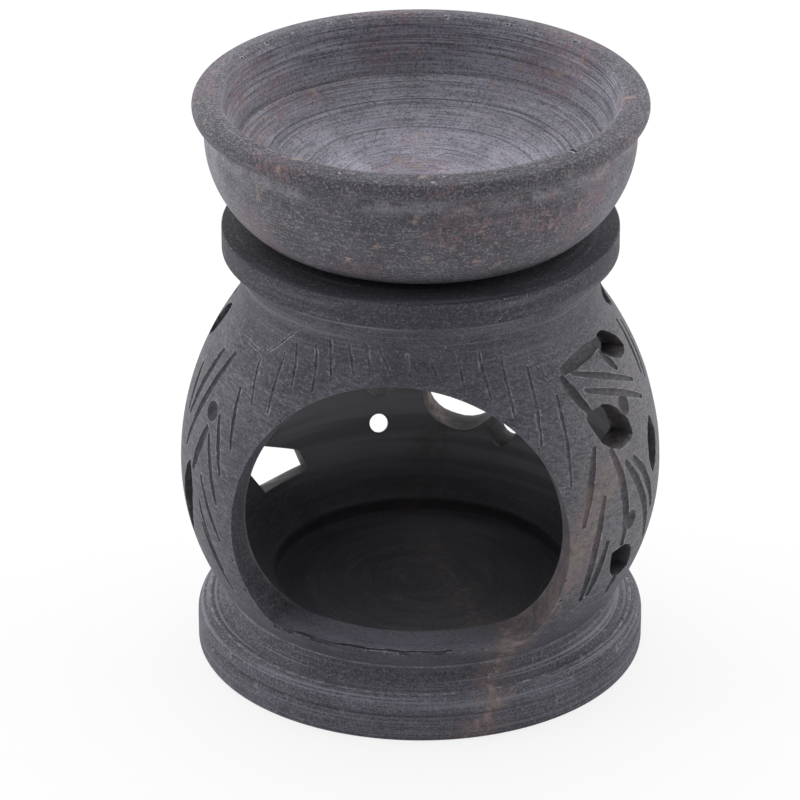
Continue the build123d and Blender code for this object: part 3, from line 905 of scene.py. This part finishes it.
for material, fresh in ((dish_stone, False), (dish_chip, True)):
    tree, place, across, back, height = stone_tree(material)
    mottle = grain(place, 170, 7, 0.7)
    speckle = grain(place, 2900, 2, 0.6)
    rings = lathe_marks(place, 3400, 2.2, 2)
    scuffs = lathe_marks(place, 2700, 24)
    # The hollow keeps the lathe's lines, and the outside is rubbed down
    _, radius = from_axis(across, back)
    bowl = maths(tree, "MULTIPLY_ADD", times(radius, radius), -0.0045, height)
    hollow = times(between(bowl, 80.5, 81.5), between(radius, 33.2, 32.2))
    # The wall is lined all over, the floor is lined finely, and single rings stand out
    lined = times(hollow, between(radius, 26, 30.4, 0.58, 1))
    lined = maths(tree, "MAXIMUM", lined, 0.1)
    wobble = maths(tree, "MULTIPLY_ADD", grain(place, 60, 2), 0.7, radius)
    dark_ring = 0
    for ring_radius, width, strength in hollow_cuts:
        off = maths(tree, "SUBTRACT", wobble, ring_radius + 0.35)
        off = maths(tree, "ABSOLUTE", off)
        cut_ring = times(hollow, between(off, 0.4 * width, width, strength, 0))
        dark_ring = maths(tree, "MAXIMUM", cut_ring, dark_ring)
    step_light = times(between(radius, 29.9, 30.2), between(radius, 31, 30.5, 0, 0.5))
    step_light = times(hollow, step_light)
    colour = blend(between(mottle, 0.36, 0.64), (0.08, 0.078, 0.093, 1), (0.146, 0.143, 0.167, 1))
    # The front of the dish's outside is painted darker, a painted shade
    painted_front_shade = times(between(back, -8, -28, 0, 0.42), between(hollow, 0.6, 0.1))
    colour = blend(painted_front_shade, colour, (0.048, 0.047, 0.055, 1))
    # The hollow's floor is painted paler towards the middle, a painted light
    floor_light = times(hollow, between(radius, 26, 12, 0.42, 0.95))
    floor_light = times(floor_light, between(grain(place, 150, 6, 0.68), 0.36, 0.62, 0.55, 1))
    colour = blend(floor_light, colour, (0.442, 0.43, 0.52, 1))
    # The dish's sides, most at the left, are painted paler, a painted light from the sides
    pale = between(across, -16, -36, 0, 0.62)
    pale = maths(tree, "ADD", pale, between(across, 24, 36, 0, 0.3))
    pale = times(pale, between(height, 96.5, 95, 0.4, 1))
    pale = times(pale, between(grain(place, 90, 4), 0.35, 0.6, 0.3, 1))
    colour = blend(pale, colour, (0.3, 0.295, 0.325, 1))
    # Under the lip the side is rubbed pale, and painted paler still, a painted light where the lip shades it
    under_lip_rub_and_light = times(band(height, 92.5, 94.5, 96.4, 95.6), between(radius, 32.9, 33.3))
    under_lip_rub_and_light = times(under_lip_rub_and_light, between(grain(place, 260, 4), 0.42, 0.62, 0.1, 0.6))
    colour = blend(under_lip_rub_and_light, colour, (0.31, 0.305, 0.335, 1))
    light_lines = times(between(rings, 0.51, 0.62, 0, 0.76), lined)
    colour = blend(light_lines, colour, (0.4, 0.394, 0.44, 1))
    dark_lines = times(between(rings, 0.49, 0.38, 0, 0.62), lined)
    colour = blend(dark_lines, colour, (0.045, 0.043, 0.05, 1))
    colour = blend(step_light, colour, (0.33, 0.325, 0.365, 1))
    colour = blend(dark_ring, colour, (0.05, 0.048, 0.06, 1))
    colour = overlay(colour, (0.27, 0.265, 0.29), scuffs, 0.54, 0.72, 0.55)
    colour = overlay(colour, (0.044, 0.043, 0.052), speckle, 0.48, 0.32, 0.7)
    colour = overlay(colour, (0.33, 0.327, 0.36), speckle, 0.54, 0.72, 0.6)
    # The rim is pitted
    rim_top = times(between(height, 95.2, 96.8), between(radius, 31.9, 32.9))
    colour = blend(times(rim_top, 0.2), colour, (0.06, 0.057, 0.07, 1))
    pits = grain(place, 2600, 3, 0.7)
    colour = overlay(colour, (0.042, 0.04, 0.049), pits, 0.52, 0.36, 0.78, rim_top)
    colour = overlay(colour, (0.34, 0.33, 0.385), pits, 0.54, 0.7, 0.5, rim_top)
    pink = grain(place, 70, 3)
    blots = grain(place, 1100, 5, 0.7)
    colour = overlay(colour, (0.085, 0.082, 0.098), blots, 0.5, 0.34, 0.5, hollow)
    blush = times(between(pink, 0.5, 0.64, 0.08, 1), between(blots, 0.44, 0.62, 0, 0.75))
    colour = blend(blush, colour, (0.205, 0.128, 0.148, 1))
    moved = node(tree, "ShaderNodeMapping", {0: place, 1: (0.3, 0.1, 0.2)})
    tan = grain(moved, 360, 3, 0.55)
    tan = times(between(tan, 0.625, 0.69, 0, 0.75), between(speckle, 0.36, 0.56, 0.45, 1))
    colour = blend(times(tan, between(pink, 0.4, 0.56, 0.35, 1)), colour, (0.31, 0.232, 0.192, 1))
    flecks = grain(place, 700, 1)
    colour = overlay(colour, (0.42, 0.415, 0.44), flecks, 0.75, 0.82, 0.5)
    if fresh:
        colour = blend(between(grain(place, 1400, 2), 0.4, 0.65, 0.1, 0.75), colour, (0.46, 0.455, 0.47, 1))
    # Worn edges go pale, with a painted highlight on one side of each chip
    edge = kept(tree, "edge")
    patchy = between(grain(place, 600, 3), 0.42, 0.58, 0.1, 0.9)
    colour = blend(times(between(edge, 0.3, 0.95), patchy), colour, (0.48, 0.475, 0.49, 1))
    relief = maths(tree, "ADD", times(rings, lined), times(speckle, 0.5))
    finish_stone(tree, colour, between(mottle, 0.3, 0.7, 0.6, 0.78), relief, 0.7, 0.12)

# Table: a plain white floor that keeps the shadow
floor_size = 3.0
floor_mesh = bpy.data.meshes.new("floor")
floor_mesh.from_pydata([(-floor_size, -floor_size, 0), (floor_size, -floor_size, 0),
                        (floor_size, floor_size, 0), (-floor_size, floor_size, 0)], [], [(0, 1, 2, 3)])
floor = placed("floor", floor_mesh)
floor_paint = bpy.data.materials.new("floor_paint")
floor_paint.use_nodes = True
tree = floor_paint.node_tree
paint = tree.nodes["Principled BSDF"]
paint.inputs["Base Color"].default_value = (0.8, 0.8, 0.8, 1)
paint.inputs["Roughness"].default_value = 0.9
seen = node(tree, "ShaderNodeLightPath")
white = node(tree, "ShaderNodeEmission", {"Strength": 1.0})
white_share = times(seen.outputs["Is Camera Ray"], 0.8)
mixed = node(tree, "ShaderNodeMixShader", {0: white_share, 1: paint.outputs[0], 2: white})
tree.links.new(mixed.outputs[0], tree.nodes["Material Output"].inputs["Surface"])
floor_mesh.materials.append(floor_paint)

# Light: a white tent, dimmer towards the camera, with soft boxes at both sides
photo_turn, photo_rise = math.radians(6.7), math.radians(26.484)
world = bpy.data.worlds.new("tent")
bpy.context.scene.world = world
world.use_nodes = True
tree = world.node_tree
tree.nodes.clear()
towards = node(tree, "ShaderNodeTexCoord").outputs["Generated"]
front = vectors(tree, "DOT_PRODUCT", towards, (math.sin(photo_turn), -math.cos(photo_turn), 0))
level = between(front, 0.0, 0.60, 2.65, 0.03)
height = node(tree, "ShaderNodeSeparateXYZ", {0: towards}).outputs[2]
overhead = between(height, 0.55, 1.0)
lift = maths(tree, "SUBTRACT", 0.85, level)
level = maths(tree, "MULTIPLY_ADD", lift, overhead, level)
side = vectors(tree, "DOT_PRODUCT", towards, (math.cos(photo_turn), math.sin(photo_turn), 0))
level = times(level, between(side, -1.0, 1.0, 1.12, 0.92))
tent = node(tree, "ShaderNodeBackground", {"Color": (1, 1, 1, 1), "Strength": level})
backdrop = node(tree, "ShaderNodeBackground", {"Color": (1, 1, 1, 1), "Strength": 1.0})
ray = node(tree, "ShaderNodeLightPath").outputs
shown = maths(tree, "MAXIMUM", ray["Is Camera Ray"], ray["Is Glossy Ray"])
shown = maths(tree, "MAXIMUM", shown, ray["Is Transmission Ray"])
sky = node(tree, "ShaderNodeMixShader", {0: shown, 1: tent, 2: backdrop})
tree.links.new(sky.outputs[0], node(tree, "ShaderNodeOutputWorld").inputs["Surface"])
bpy.context.scene.view_settings.view_transform = "Standard"

# Camera at the photograph's angle
focal_px, image_px = 4947.8, 800
camera_distance = 823.66 * mm
camera_target = Vector((0, 0, 43.776 * mm))
axis_shift = 20.3 / focal_px * camera_distance
right = Vector((math.cos(photo_turn), math.sin(photo_turn), 0))
ahead = Vector((-math.sin(photo_turn) * math.cos(photo_rise),
                math.cos(photo_turn) * math.cos(photo_rise), -math.sin(photo_rise)))
lens = bpy.data.cameras.new("photo_camera")
lens.sensor_width = 36
lens.lens = focal_px * lens.sensor_width / image_px
camera = placed("photo_camera", lens)
camera.location = camera_target - ahead * camera_distance - right * axis_shift
camera.rotation_euler = ahead.to_track_quat("-Z", "Y").to_euler()
bpy.context.scene.camera = camera
